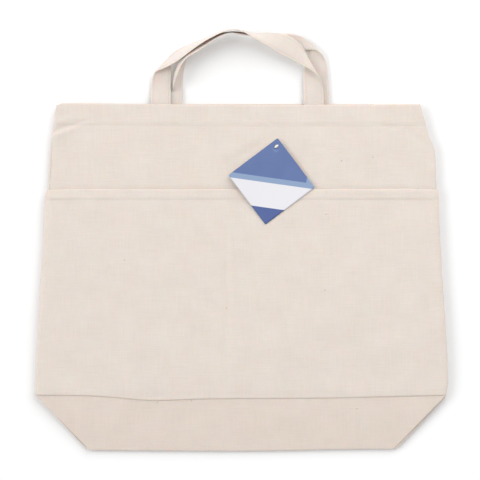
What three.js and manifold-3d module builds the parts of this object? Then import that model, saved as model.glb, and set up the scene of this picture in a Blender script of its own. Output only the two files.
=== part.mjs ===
// Flat canvas craft bag, lying closed on its back panel: millimetres, +Z up, +Y towards the handles.
// The bag is boxed: each side is a strip folded inwards along its middle, and the base is a strip
// folded in half below the panels, with its four corners tucked between its halves.
import * as THREE from "three";
import Module from "manifold-3d";
import { mergeVertices } from "three/addons/utils/BufferGeometryUtils.js";

const wasm = await Module();
wasm.setup();

// Panels
const BASE_HALF_WIDTH = 257;
const TOP_HALF_WIDTH = 235.5;
const BASE_Y = -194;
const TOP_Y = 169;
const FOLD_DEPTH = 68;          // half of the bag's depth: base halves and side halves
const CANVAS = 0.9;
const PANEL = 1.0;
const GAP = 0.3;                // air between pieces that touch
const FOLD_RISE = 3.5;          // from a hinge line up to the middle of the closed bag
const HEM_DEPTH = 26;
const SEAM_DEPTH = 10;
const SIDE_CLEARANCE = 3;       // between turned edges and the folded sides

// Tucked corners of the base
const CORNER_CLOTH = 0.6;
const CORNER_REACH = 44;        // they stop short of the outer fold, where the base's halves meet
const CORNER_CLEARANCE = 1.2;   // from the crease that they turn about
const CORNER_START = 3;         // from the crease's upper end
const CORNER_TRIM = 2;          // off the corner's inner point

// Pocket
const POCKET_TOP_Y = 62.5;
const POCKET_HEM_DEPTH = 12;
const POCKET_ROOM = 5.5;
const POCKET_WALL = 1.5;
const POCKET_PROUD = 2;         // the pocket's sides stand out from the panel's edges at its mouth

// Handles
const STRAP_WIDTH = 24.5;
const STRAP = 1.4;
const STRAP_HINGE_Y = 174.5;
const STRAP_END_Y = 148;
const FRONT_LEGS_X = [-100.9, 90.1];
const BACK_LEGS_X = [-87.4, 96.8];

// Hang tag
const TAG_SIDE = 77;
const TAG_THICKNESS = 0.6;
const TAG_TURN = THREE.MathUtils.degToRad(-53);
const TAG_HOLE = [43.5, 116];
const TAG_HOLE_INSET = 7.4;     // from the two edges that meet at the tag's top corner
const TAG_HOLE_RADIUS = 2.2;
const STEM_RADIUS = 0.9;
const HEAD_RADIUS = 3;
const HEAD_THICKNESS = 0.8;

// Heights worked out from the dimensions above
const REAR_HINGE_Z = PANEL + GAP;
const FRONT_HINGE_Z = REAR_HINGE_Z + 2 * FOLD_RISE;
const FRONT_PANEL_Z = FRONT_HINGE_Z + GAP;
const FRONT_TOP_Z = FRONT_PANEL_Z + PANEL;
const POCKET_Z = FRONT_TOP_Z + GAP;
const POCKET_SHEET_Z = POCKET_Z + POCKET_ROOM;
const POCKET_OUTER_Z = POCKET_SHEET_Z + CANVAS;
const TAG_Z = POCKET_OUTER_Z + GAP;
const TAPER = Math.atan((BASE_HALF_WIDTH - TOP_HALF_WIDTH) / (TOP_Y - BASE_Y));
const BASE_TILT = Math.asin(FOLD_RISE / FOLD_DEPTH);
const SIDE_TILT = Math.asin((FOLD_RISE - CANVAS - GAP) / FOLD_DEPTH);
const CREASE = (Math.PI / 2 - TAPER) / 2;     // corner crease, from the bag's long direction
const SIDE_LENGTH = (TOP_Y - BASE_Y) / Math.cos(TAPER);

const CANVAS_CLOTH = new THREE.MeshStandardMaterial({ color: 0xe9dcd0, roughness: 0.92 });
const STRAP_CLOTH = new THREE.MeshStandardMaterial({ color: 0xe9ddd2, roughness: 0.9 });
const CARD = new THREE.MeshStandardMaterial({ color: 0x7385b8, roughness: 0.55 });
const NYLON = new THREE.MeshStandardMaterial({ color: 0xf2f2f0, roughness: 0.35 });

const bag = new THREE.Group();

function add(name, geometry, material, parent = bag) {
  const mesh = new THREE.Mesh(geometry, material);
  mesh.name = name;
  parent.add(mesh);
  return mesh;
}

function halfWidth(y) {
  return BASE_HALF_WIDTH - (y - BASE_Y) * Math.tan(TAPER);
}

// A flat sheet: an outline in X and Y, from one height to another.
function sheet(outline, low, high) {
  const shape = new THREE.Shape(outline.map(([x, y]) => new THREE.Vector2(x, y)));
  const geometry = new THREE.ExtrudeGeometry(shape, { depth: high - low, bevelEnabled: false });
  return geometry.translate(0, 0, low);
}

// A strip across the bag between two heights on the tapered outline, pulled in by a margin.
function acrossOutline(lowY, highY, margin = 0) {
  const low = halfWidth(lowY) - margin;
  const high = halfWidth(highY) - margin;
  return [[-low, lowY], [low, lowY], [high, highY], [-high, highY]];
}

function toManifold(geometry) {
  const bare = geometry.clone();
  bare.deleteAttribute("normal");
  bare.deleteAttribute("uv");
  const merged = mergeVertices(bare);
  return new wasm.Manifold(new wasm.Mesh({
    numProp: 3,
    vertProperties: new Float32Array(merged.attributes.position.array),
    triVerts: new Uint32Array(merged.index.array),
  }));
}

function subtract(geometry, cutter) {
  const mesh = toManifold(geometry).subtract(toManifold(cutter)).getMesh();
  const cut = new THREE.BufferGeometry();
  cut.setAttribute("position", new THREE.BufferAttribute(mesh.vertProperties, 3));
  cut.setIndex(new THREE.BufferAttribute(mesh.triVerts, 1));
  cut.computeVertexNormals();
  return cut;
}

// A strap that turns and folds: a strip of cloth ruled between its two edges. Each station holds
// a point on the strap's first edge and the point across from it on its second edge.
function strap(stations) {
  const edges = [0, 1].map((side) => new THREE.CatmullRomCurve3(
    stations.map((station) => new THREE.Vector3(...station[side])),
    false,
    "centripetal",
  ));
  const steps = (stations.length - 1) * 2;
  const positions = [];
  for (let step = 0; step <= steps; step += 1) {
    const [first, second] = edges.map((edge) => edge.getPoint(step / steps));
    const [before, after] = [Math.max(step - 1, 0), Math.min(step + 1, steps)]
      .map((place) => edges[0].getPoint(place / steps).add(edges[1].getPoint(place / steps)));
    const along = after.sub(before);
    const face = second.clone().sub(first).cross(along).normalize().multiplyScalar(STRAP / 2);
    const corners = [
      first.clone().add(face), first.clone().sub(face),
      second.clone().sub(face), second.clone().add(face),
    ];
    corners.forEach((corner) => positions.push(...corner.toArray()));
  }
  const triangles = [0, 1, 2, 0, 2, 3];
  for (let step = 0; step < steps; step += 1) {
    for (let side = 0; side < 4; side += 1) {
      const a = step * 4 + side;
      const b = step * 4 + (side + 1) % 4;
      triangles.push(a, a + 4, b, b, a + 4, b + 4);
    }
  }
  const last = steps * 4;
  triangles.push(last, last + 2, last + 1, last, last + 3, last + 2);
  const geometry = new THREE.BufferGeometry();
  geometry.setAttribute("position", new THREE.Float32BufferAttribute(positions, 3));
  geometry.setIndex(triangles);
  geometry.computeVertexNormals();
  return geometry;
}

// The front handle: a leg, a fold over it, a band on edge across the top, then flat and a fold.
const FRONT_HANDLE = [
  [[-113, 174.8, 6.3], [-88.5, 174.8, 6.3]],
  [[-112.5, 189, 4.6], [-88.5, 191.5, 6.3]],
  [[-111.5, 197.5, 5.6], [-88, 205, 6.3]],
  [[-110, 204.5, 8], [-88, 219, 6.5]],
  [[-106.5, 209, 11], [-87, 230, 7]],
  [[-98.5, 212, 14.5], [-85.5, 232.5, 7]],
  [[-88.5, 216.5, 19], [-83, 234.5, 6.5]],
  [[-79, 222.5, 23], [-78.5, 236.5, 6.5]],
  [[-69, 229.5, 25.5], [-71.5, 240, 7]],
  [[-55, 239.5, 28], [-58.5, 245.5, 8]],
  [[-41.5, 248, 30], [-43.5, 251.5, 9]],
  [[-26.5, 255.5, 32], [-27.5, 259.3, 9]],
  [[-12, 259, 33], [-12, 262, 9.5]],
  [[2, 257, 32.5], [2.5, 260.5, 9.5]],
  [[15.5, 249.7, 30], [18, 257.2, 9]],
  [[30.5, 241.5, 24], [36, 257.5, 9]],
  [[46.5, 232, 17.5], [54.5, 255, 11.5]],
  [[62, 224.5, 15], [68.5, 247, 11.5]],
  [[77, 216.5, 14.5], [77, 238, 10]],
  [[87, 210.5, 14], [81, 231, 9.5]],
  [[95.5, 203, 12], [82.5, 225, 8]],
  [[100, 194, 8], [79.5, 219, 6.5]],
  [[101.8, 184, 6.3], [77.6, 202, 6.3]],
  [[102.4, 174.8, 6.3], [77.9, 174.8, 6.3]],
];

// The back handle lies behind and inside the front one, and rolls up on edge sooner.
const BACK_HANDLE = [
  [[-99.6, 174.8, 3.3], [-75.1, 174.8, 3.3]],
  [[-96, 181, 3.4], [-74.6, 180, 3.2]],
  [[-87, 185.5, 3.9], [-74.4, 185.5, 2.8]],
  [[-84.8, 190, 10], [-74.1, 191.5, 2.4]],
  [[-83, 196, 16.5], [-73.4, 200, 2.4]],
  [[-80.6, 204, 21], [-72.7, 209.5, 2.4]],
  [[-75.6, 216, 23], [-70, 222, 2.8]],
  [[-68, 225, 25], [-66, 233, 3.5]],
  [[-55.5, 232.5, 27], [-58, 242, 4.5]],
  [[-42, 241.5, 28.5], [-45, 248.5, 6]],
  [[-28, 250, 30], [-30.5, 255.6, 7]],
  [[-14.5, 254.8, 30.5], [-15.5, 259, 7.5]],
  [[-0.5, 254.2, 29], [-1, 258.2, 7.5]],
  [[12, 252.3, 22], [13, 256, 6]],
  [[25.5, 247, 15], [27, 256.3, 4]],
  [[40.5, 240.5, 10], [44.5, 256.5, 5]],
  [[54.5, 234.5, 8.5], [60.5, 256.3, 5.5]],
  [[68, 234.5, 7.5], [73, 253.8, 5.5]],
  [[82, 237, 7], [80.5, 249.5, 6]],
  [[92, 236, 7.6], [86, 246, 6.4]],
  [[99.5, 231, 7], [89.5, 243, 5.4]],
  [[105, 222, 4.2], [82, 237.5, 3.5]],
  [[107.3, 209.5, 3.3], [81, 222, 3.3]],
  [[108.2, 193, 3.3], [83.2, 199.5, 3.3]],
  [[108.9, 174.8, 3.3], [84.4, 174.8, 3.3]],
];

function makePanels() {
  const outline = acrossOutline(BASE_Y, TOP_Y);
  add("back_panel", sheet(outline, 0, PANEL), CANVAS_CLOTH);
  add("front_panel", sheet(outline, FRONT_PANEL_Z, FRONT_TOP_Z), CANVAS_CLOTH);
}

// Turned edges inside the bag, between the folded sides.
function makeHemsAndSeams() {
  const clearOfSides = FOLD_DEPTH + SIDE_CLEARANCE;
  const hem = acrossOutline(TOP_Y - HEM_DEPTH, TOP_Y, clearOfSides);
  const seam = acrossOutline(BASE_Y + GAP, BASE_Y + SEAM_DEPTH, clearOfSides);
  const rearLow = REAR_HINGE_Z;
  const frontHigh = FRONT_HINGE_Z;
  add("back_top_hem", sheet(hem, rearLow, rearLow + CANVAS), CANVAS_CLOTH);
  add("front_top_hem", sheet(hem, frontHigh - CANVAS, frontHigh), CANVAS_CLOTH);
  add("back_base_seam", sheet(seam, rearLow, rearLow + CANVAS), CANVAS_CLOTH);
  add("front_base_seam", sheet(seam, frontHigh - CANVAS, frontHigh), CANVAS_CLOTH);
}

// A tray open towards the handles: the pocket's cloth with its sewn sides and bottom.
function makePocket() {
  const low = BASE_Y + GAP;
  const mouth = halfWidth(POCKET_TOP_Y) + POCKET_PROUD;
  const foot = halfWidth(low);
  const outer = [[-foot, low], [foot, low], [mouth, POCKET_TOP_Y], [-mouth, POCKET_TOP_Y]];
  const inner = [
    [-foot + POCKET_WALL, low + POCKET_WALL],
    [foot - POCKET_WALL, low + POCKET_WALL],
    [mouth - POCKET_WALL, POCKET_TOP_Y + PANEL],
    [-mouth + POCKET_WALL, POCKET_TOP_Y + PANEL],
  ];
  const tray = subtract(
    sheet(outer, POCKET_Z, POCKET_OUTER_Z),
    sheet(inner, POCKET_Z - PANEL, POCKET_SHEET_Z),
  );
  add("front_pocket", tray, CANVAS_CLOTH);
  const hemFoot = POCKET_TOP_Y - POCKET_HEM_DEPTH;
  const hem = acrossOutline(hemFoot, POCKET_TOP_Y, POCKET_WALL + PANEL);
  add("pocket_hem", sheet(hem, POCKET_SHEET_Z - GAP - CANVAS, POCKET_SHEET_Z - GAP), CANVAS_CLOTH);
}

// Base halves, hinged at the panels' lower edges and to each other at the outer fold.
function makeBase() {
  const foldHalfWidth = BASE_HALF_WIDTH - FOLD_DEPTH * Math.tan(CREASE);
  const outline = [
    [-BASE_HALF_WIDTH + GAP, -GAP],
    [-foldHalfWidth, -FOLD_DEPTH + GAP],
    [foldHalfWidth, -FOLD_DEPTH + GAP],
    [BASE_HALF_WIDTH - GAP, -GAP],
  ];
  const halves = [
    { side: "rear", z: REAR_HINGE_Z, tilt: -BASE_TILT, low: -CANVAS, high: 0, facing: 1 },
    { side: "front", z: FRONT_HINGE_Z, tilt: BASE_TILT, low: 0, high: CANVAS, facing: -1 },
  ];
  halves.forEach((half) => {
    const group = new THREE.Group();
    group.position.set(0, BASE_Y, half.z);
    group.rotation.x = half.tilt;
    bag.add(group);
    add(`base_${half.side}`, sheet(outline, half.low, half.high), CANVAS_CLOTH, group);
    makeBaseCorners(group, half);
  });
}

// Tucked corners: each is the base's corner mirrored in its crease, cut short where the halves meet.
function makeBaseCorners(group, half) {
  const near = half.facing > 0 ? GAP : -GAP - CORNER_CLOTH;
  const start = BASE_HALF_WIDTH - CORNER_START;
  const inner = BASE_HALF_WIDTH - FOLD_DEPTH + CORNER_TRIM;
  const shoulder = (FOLD_DEPTH - CORNER_TRIM) * Math.tan(TAPER);
  const outline = [
    [start, -CORNER_START],
    [start - CORNER_REACH * Math.tan(CREASE), -CORNER_REACH],
    [inner, -CORNER_REACH],
    [inner, -shoulder],
  ].map(([x, y]) => [x - CORNER_CLEARANCE, y - CORNER_CLEARANCE]);
  [["left", -1], ["right", 1]].forEach(([hand, sign]) => {
    const corner = outline.map(([x, y]) => [sign * x, y]);
    const geometry = sheet(corner, near, near + CORNER_CLOTH);
    add(`base_corner_${half.side}_${hand}`, geometry, CANVAS_CLOTH, group);
  });
}

// Side halves, hinged on the panels' long edges; the two halves of a side meet at its middle fold.
function makeSides() {
  [["left", -1], ["right", 1]].forEach(([hand, sign]) => {
    const outline = [
      [-sign * GAP, GAP],
      [-sign * (FOLD_DEPTH - GAP), GAP],
      [-sign * (FOLD_DEPTH - GAP), SIDE_LENGTH - GAP],
      [-sign * GAP, SIDE_LENGTH - GAP],
    ];
    const halves = [
      { side: "rear", z: REAR_HINGE_Z, tilt: sign * SIDE_TILT, low: 0, high: CANVAS },
      { side: "front", z: FRONT_HINGE_Z, tilt: -sign * SIDE_TILT, low: -CANVAS, high: 0 },
    ];
    halves.forEach((half) => {
      const edge = new THREE.Group();
      edge.position.set(sign * BASE_HALF_WIDTH, BASE_Y, half.z);
      edge.rotation.z = sign * TAPER;
      bag.add(edge);
      const mesh = add(`side_${half.side}_${hand}`, sheet(outline, half.low, half.high), CANVAS_CLOTH, edge);
      mesh.rotation.y = half.tilt;
    });
  });
}

// Strap ends sewn inside the hems, up to where the free strap begins to bend.
function makeHandles() {
  const ends = [
    { side: "front", legs: FRONT_LEGS_X, middle: FRONT_HANDLE[0][0][2] },
    { side: "back", legs: BACK_LEGS_X, middle: BACK_HANDLE[0][0][2] },
  ];
  ends.forEach(({ side, legs, middle }) => {
    ["left", "right"].forEach((hand, index) => {
      const outline = [
        [legs[index] - STRAP_WIDTH / 2, STRAP_END_Y],
        [legs[index] + STRAP_WIDTH / 2, STRAP_END_Y],
        [legs[index] + STRAP_WIDTH / 2, STRAP_HINGE_Y - GAP],
        [legs[index] - STRAP_WIDTH / 2, STRAP_HINGE_Y - GAP],
      ];
      add(`${side}_strap_end_${hand}`, sheet(outline, middle - STRAP / 2, middle + STRAP / 2), STRAP_CLOTH);
    });
  });
  add("front_handle", strap(FRONT_HANDLE), STRAP_CLOTH);
  add("back_handle", strap(BACK_HANDLE), STRAP_CLOTH);
}

// A square card hung by its top corner, and the plastic pin that holds it.
function makeTag() {
  const near = -TAG_HOLE_INSET;
  const far = TAG_SIDE - TAG_HOLE_INSET;
  const shape = new THREE.Shape([
    new THREE.Vector2(near, -far),
    new THREE.Vector2(far, -far),
    new THREE.Vector2(far, -near),
    new THREE.Vector2(near, -near),
  ]);
  shape.holes.push(new THREE.Path().absarc(0, 0, TAG_HOLE_RADIUS, 0, 2 * Math.PI, true));
  const card = new THREE.ExtrudeGeometry(shape, {
    depth: TAG_THICKNESS,
    bevelEnabled: false,
    curveSegments: 16,
  });
  const tag = add("hang_tag", card, CARD);
  tag.position.set(...TAG_HOLE, TAG_Z);
  tag.rotation.z = TAG_TURN;
  const stemFoot = POCKET_Z;
  const headZ = TAG_Z + TAG_THICKNESS + GAP;
  const profile = [
    [0, stemFoot], [STEM_RADIUS, stemFoot], [STEM_RADIUS, headZ], [HEAD_RADIUS, headZ],
    [HEAD_RADIUS, headZ + HEAD_THICKNESS], [0, headZ + HEAD_THICKNESS],
  ].map(([r, z]) => new THREE.Vector2(r, z));
  const pin = new THREE.LatheGeometry(profile, 20).rotateX(Math.PI / 2);
  add("tag_pin", pin, NYLON).position.set(...TAG_HOLE, 0);
}

makePanels();
makeHemsAndSeams();
makePocket();
makeBase();
makeSides();
makeHandles();
makeTag();

export default bag;
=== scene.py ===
"""A natural canvas craft bag lying closed on a white table, with its two handles fallen above it
and a square hang tag on its front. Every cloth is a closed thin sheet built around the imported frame."""

import itertools
import math

import bpy
import numpy as np
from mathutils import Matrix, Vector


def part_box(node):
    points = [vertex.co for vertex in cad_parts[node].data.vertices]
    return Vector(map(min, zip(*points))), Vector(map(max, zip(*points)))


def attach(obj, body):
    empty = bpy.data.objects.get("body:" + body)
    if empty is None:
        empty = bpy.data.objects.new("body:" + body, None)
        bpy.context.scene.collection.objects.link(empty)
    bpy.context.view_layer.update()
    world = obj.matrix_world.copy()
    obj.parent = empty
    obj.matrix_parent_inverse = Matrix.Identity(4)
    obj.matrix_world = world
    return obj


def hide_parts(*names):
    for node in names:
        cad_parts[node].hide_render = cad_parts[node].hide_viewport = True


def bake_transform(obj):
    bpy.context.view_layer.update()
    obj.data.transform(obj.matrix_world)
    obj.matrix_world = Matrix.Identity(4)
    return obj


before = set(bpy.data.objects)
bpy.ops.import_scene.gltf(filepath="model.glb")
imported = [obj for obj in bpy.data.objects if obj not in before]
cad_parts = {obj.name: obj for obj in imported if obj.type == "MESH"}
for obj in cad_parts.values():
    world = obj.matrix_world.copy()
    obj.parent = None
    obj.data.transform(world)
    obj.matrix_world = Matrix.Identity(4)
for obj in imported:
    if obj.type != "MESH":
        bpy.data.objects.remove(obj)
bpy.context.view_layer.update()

MM = 0.001

# Places taken from the frame
PANEL_LOW, PANEL_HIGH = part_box("front_panel")
BACK_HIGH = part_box("back_panel")[1]
HEM_LOW, HEM_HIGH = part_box("front_top_hem")
POCKET_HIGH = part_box("front_pocket")[1]
PIN_LOW, PIN_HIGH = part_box("tag_pin")
BASE_Y = PANEL_LOW.y
TOP_Y = PANEL_HIGH.y
BASE_HALF = PANEL_HIGH.x
MOUTH_Y = POCKET_HIGH.y

# The folded base and sides: half the mouth's width, a fold's depth, and how far it rises to its hinge
TOP_HALF = 0.2355
FOLD_DEPTH = 0.068
FOLD_RISE = 0.0035
SIDE_EASE = 1.2 * MM
FRONT_HINGE_Z = HEM_HIGH.z
REAR_HINGE_Z = FRONT_HINGE_Z - 2 * FOLD_RISE
TAPER = math.atan((BASE_HALF - TOP_HALF) / (TOP_Y - BASE_Y))
CREASE = (math.pi / 2 - TAPER) / 2
BASE_TILT = math.asin(FOLD_RISE / FOLD_DEPTH)
SIDE_TILT = math.asin((FOLD_RISE - SIDE_EASE) / FOLD_DEPTH)

# Cloth
CANVAS = 0.8 * MM
FRONT_Z = (PANEL_LOW.z + PANEL_HIGH.z) / 2
BACK_Z = BACK_HIGH.z / 2
HEM_DEPTH = HEM_HIGH.y - HEM_LOW.y
POCKET_HEM_DEPTH = 12 * MM
POCKET_LIFT = 1.35 * MM
MOUTH_LIFT = 1.95 * MM
STRAP = 1.5 * MM
STRAP_WIDTH = 24.5 * MM
WEAVE_PITCH = 0.85 * MM
STRAP_PITCH = 0.75 * MM
FLAP = 0.6 * MM
CORNER_FLAP = 0.4 * MM
FLAP_RADIUS = 0.42 * MM
FLAP_INSET = 0.9 * MM
TURNED_EDGE = 0.7 * MM
EDGE_START = 1.4 * MM
FOLD_GAP = 0.05 * MM

# The base's own outline: each end of its seam with the panels, and half of its folded edge
BASE_LEFT = 0.2566
BASE_RIGHT = 0.2550
FOLD_HALF = 0.1905

# Colours: the two tones that each cloth or printed band varies between, in linear red, green and blue
CLOTH_TONES = ((0.835, 0.748, 0.690), (0.658, 0.568, 0.500))
# The base is the same canvas as the panels, painted darker: painted shade that stands for the dimmer light
# on the bag's lower part
SHADED_BASE_TONES = ((0.811, 0.711, 0.647), (0.639, 0.540, 0.469))
STRAP_TONES = ((0.819, 0.750, 0.697), (0.647, 0.577, 0.513))
SPECK = (0.36, 0.22, 0.12, 1)
THREAD_TONES = ((0.60, 0.52, 0.44, 1), (0.76, 0.68, 0.60, 1))
DARK_BLUE = ((0.092, 0.145, 0.330, 1), (0.120, 0.182, 0.385, 1))
FOOT_BLUE = ((0.062, 0.102, 0.285, 1), (0.082, 0.128, 0.335, 1))
PALE_BLUE = ((0.235, 0.325, 0.500, 1), (0.265, 0.358, 0.540, 1))
CARD_WHITE = ((0.745, 0.735, 0.770, 1), (0.785, 0.775, 0.810, 1))
RAW_CARD = ((0.70, 0.69, 0.68, 1), (0.80, 0.79, 0.78, 1))
NYLON_TONES = ((0.80, 0.80, 0.80, 1), (0.92, 0.92, 0.91, 1))
TABLE_TONES = ((0.94, 0.94, 0.94, 1), (0.96, 0.96, 0.96, 1))

# The bag's outline as it lies, in metres: Y, then how far the left or the right edge is from the
# middle. The top, lap and mouth edges give X, then Y.
LEFT_EDGE = [
    (-0.194, 0.2566), (-0.150, 0.2546), (-0.090, 0.2512), (0.000, 0.2458), (0.050, 0.2426),
    (0.064, 0.2404), (0.100, 0.2384), (0.122, 0.2370), (0.132, 0.2356), (0.142, 0.2334),
    (0.150, 0.2326), (0.170, 0.2306),
]
RIGHT_EDGE = [
    (-0.194, 0.2540), (-0.182, 0.2562), (-0.170, 0.2568), (-0.130, 0.2546), (-0.088, 0.2522),
    (0.000, 0.2466), (0.062, 0.2428), (0.100, 0.2414), (0.112, 0.2406), (0.120, 0.2378),
    (0.128, 0.2334), (0.153, 0.2272), (0.168, 0.2222),
]
TOP_EDGE = [
    (-0.240, 0.1700), (-0.160, 0.1692), (-0.100, 0.1684), (0.000, 0.1674), (0.150, 0.1677),
    (0.230, 0.1684),
]
LAP_EDGE = [
    (-0.257, -0.1936), (-0.190, -0.1942), (-0.155, -0.1966), (-0.130, -0.1992), (-0.112, -0.2004),
    (-0.092, -0.1998), (-0.060, -0.1986), (-0.030, -0.1979), (0.050, -0.1976), (0.110, -0.1972),
    (0.180, -0.1955), (0.250, -0.1938),
]
MOUTH_EDGE = [
    (-0.245, 0.0615), (-0.200, 0.0628), (-0.100, 0.0622), (0.000, 0.0628), (0.120, 0.0624),
    (0.200, 0.0632), (0.245, 0.0618),
]

OUTLINE = {"left": LEFT_EDGE, "right": RIGHT_EDGE}

# The bag's two hands with their sign of X, and its two halves with the way they face and hinge height
HANDS = (("left", -1), ("right", 1))
HALVES = (("rear", -1, REAR_HINGE_Z), ("front", 1, FRONT_HINGE_Z))

# Creases that the cloth keeps: X and Y of the start and the end in metres, then the width and the
# height in millimetres
PANEL_FOLDS = [
    (-0.238, 0.1335, -0.196, 0.1475, 2.6, -1.3),
    (-0.240, 0.1260, -0.205, 0.1400, 4.0, 0.9),
    (-0.236, 0.1430, -0.212, 0.1530, 4.0, 0.7),
    (-0.240, 0.1140, -0.205, 0.1185, 5.0, -0.35),
    (-0.028, 0.1010, 0.026, 0.1320, 8.0, 0.75),
    (-0.010, 0.1010, 0.040, 0.1290, 5.0, -0.45),
    (0.020, 0.1580, 0.032, 0.1430, 2.2, 0.35),
    (-0.004, 0.1600, 0.018, 0.1420, 2.4, -0.40),
    (0.026, 0.1500, 0.044, 0.1400, 2.0, -0.40),
    (0.080, 0.1160, 0.118, 0.1110, 5.0, -0.35),
    (0.165, 0.1430, 0.195, 0.1395, 2.2, -0.45),
    (0.185, 0.1090, 0.236, 0.1010, 6.0, -0.30),
    (0.205, 0.1480, 0.232, 0.1240, 5.0, 0.55),
]
POCKET_FOLDS = [
    (-0.0105, -0.190, -0.0115, 0.040, 3.4, 0.42),
    (-0.0180, -0.190, -0.0190, 0.040, 4.5, -0.40),
    (-0.238, 0.052, -0.190, 0.0500, 3.0, 0.30),
    (-0.250, -0.060, -0.215, -0.085, 7.0, -0.30),
    (0.120, 0.060, 0.236, 0.0585, 3.0, 0.40),
    (-0.145, -0.200, -0.060, -0.150, 14.0, 0.35),
    (0.060, -0.120, 0.180, -0.060, 22.0, 0.40),
]

# The handles' two edges at each station, in millimetres, from the left leg over to the right one
FRONT_HANDLE = [
    [[-113, 174.8, 6.3], [-88.5, 174.8, 6.3]],
    [[-112.5, 189, 4.6], [-88.5, 191.5, 6.3]],
    [[-111.5, 197.5, 5.6], [-88, 205, 6.3]],
    [[-110, 204.5, 8], [-88, 219, 6.5]],
    [[-106.5, 209, 11], [-87, 230, 7]],
    [[-98.5, 212, 14.5], [-85.5, 232.5, 7]],
    [[-88.5, 216.5, 19], [-83, 234.5, 6.5]],
    [[-79, 222.5, 23], [-78.5, 236.5, 6.5]],
    [[-69, 229.5, 25.5], [-71.5, 240, 7]],
    [[-55, 239.5, 28], [-58.5, 245.5, 8]],
    [[-41.5, 248, 30], [-43.5, 251.5, 9]],
    [[-26.5, 255.5, 32], [-27.5, 259.3, 9]],
    [[-12, 259, 33], [-12, 262, 9.5]],
    [[2, 257, 32.5], [2.5, 260.5, 9.5]],
    [[15.5, 249.7, 30], [18, 257.2, 9]],
    [[30.5, 241.5, 24], [36, 257.5, 9]],
    [[46.5, 232, 17.5], [54.5, 255, 11.5]],
    [[62, 224.5, 15], [68.5, 247, 11.5]],
    [[77, 216.5, 14.5], [77, 238, 10]],
    [[87, 210.5, 14], [81, 231, 9.5]],
    [[95.5, 203, 12], [82.5, 225, 8]],
    [[100, 194, 8], [79.5, 219, 6.5]],
    [[101.8, 184, 6.3], [77.6, 202, 6.3]],
    [[102.4, 174.8, 6.3], [77.9, 174.8, 6.3]],
]
BACK_HANDLE = [
    [[-99.6, 174.8, 3.3], [-75.1, 174.8, 3.3]],
    [[-96, 181, 3.4], [-74.6, 180, 3.2]],
    [[-87, 185.5, 3.9], [-74.4, 185.5, 2.8]],
    [[-84.8, 190, 10], [-74.1, 191.5, 2.4]],
    [[-83, 196, 16.5], [-73.4, 200, 2.4]],
    [[-80.6, 204, 21], [-72.7, 209.5, 2.4]],
    [[-75.6, 216, 23], [-70, 222, 2.8]],
    [[-68, 225, 25], [-66, 233, 3.5]],
    [[-55.5, 232.5, 27], [-58, 242, 4.5]],
    [[-42, 241.5, 28.5], [-45, 248.5, 6]],
    [[-28, 250, 30], [-30.5, 255.6, 7]],
    [[-14.5, 254.8, 30.5], [-15.5, 259, 7.5]],
    [[-0.5, 254.2, 29], [-1, 258.2, 7.5]],
    [[12, 252.3, 22], [13, 256, 6]],
    [[25.5, 247, 15], [27, 256.3, 4]],
    [[40.5, 240.5, 10], [44.5, 256.5, 5]],
    [[54.5, 234.5, 8.5], [60.5, 256.3, 5.5]],
    [[68, 234.5, 7.5], [73, 253.8, 5.5]],
    [[82, 237, 7], [80.5, 249.5, 6]],
    [[92, 236, 7.6], [86, 246, 6.4]],
    [[99.5, 231, 7], [89.5, 243, 5.4]],
    [[105, 222, 4.2], [82, 237.5, 3.5]],
    [[107.3, 209.5, 3.3], [81, 222, 3.3]],
    [[108.2, 193, 3.3], [83.2, 199.5, 3.3]],
    [[108.9, 174.8, 3.3], [84.4, 174.8, 3.3]],
]
# How far the back handle bulges to the left between its edges, in millimetres, at its first stations
BACK_BULGE = [0, 0, 1, 4, 5.5, 6, 5, 4, 1.5]
STRAP_TUCK = 26 * MM
STRAP_MIDDLES = (-0.0945, 0.0935)
PER_SPAN = 8
# Where each point across the strap lies, from one edge to the other, and which two are sewn
STRAP_ACROSS = [0, 0.03, 0.07, 0.11, 0.14, 0.2, 0.3, 0.42, 0.5, 0.58, 0.7, 0.8, 0.86, 0.89, 0.93, 0.97, 1]
SEWN_COLUMNS = (3, 13)

# Hang tag
TAG_SIDE = 77 * MM
TAG_CARD = 0.5 * MM
TAG_TURN = math.radians(-53)
TAG_HOLE_INSET = 7.4 * MM
TAG_HOLE = 2.6 * MM
TAG_CORNER = 1.6 * MM
TAG_Z = 13.4 * MM
# The card's printed bands: heights up its diagonal, and where the dark band ends at the right
DARK_FROM = 0.0042
PALE_FROM = -0.0024
FOOT_BELOW = -0.0333
DARK_UNTIL = 0.0430
PIN_X = (PIN_LOW.x + PIN_HIGH.x) / 2
PIN_Y = (PIN_LOW.y + PIN_HIGH.y) / 2
# The pin's bar: how much longer and narrower it is than a round head, and its turn
PIN_BAR = (1.1, 0.5)
PIN_TURN = math.radians(35)

# Sewing
STITCH_PITCH = 3.3 * MM
STITCH_SHARE = 0.74
STITCH_SIDES = 6
TOP_SEAM = (-0.2325, 0.2235)
POCKET_SEAM = (-0.2400, 0.2400)
THREAD_CLEAR = 0.02 * MM
THREAD_STEP = 0.0034

# Table, light and camera
TABLE_HALF = 4.0
TABLE_Z = -0.3 * MM
WORLD_LIGHT = 0.57
CAMERA_PLACE = (-0.0019, -0.0006, 3.0)
CAMERA_LENS = 180
CAMERA_SENSOR = 36


# ---------------------------------------------------------------- numbers along and across the cloth


def line(stations, at, soften=0.004):
    """A value read from listed stations, with their corners softened."""
    places, values = zip(*stations)
    shifts = np.linspace(-soften, soften, 7)
    return sum(np.interp(at + s, places, values) for s in shifts) / len(shifts)


def step(low, high, value):
    """A smooth step from 0 below low to 1 above high."""
    t = np.clip((value - low) / (high - low), 0, 1)
    return t * t * (3 - 2 * t)


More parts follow.
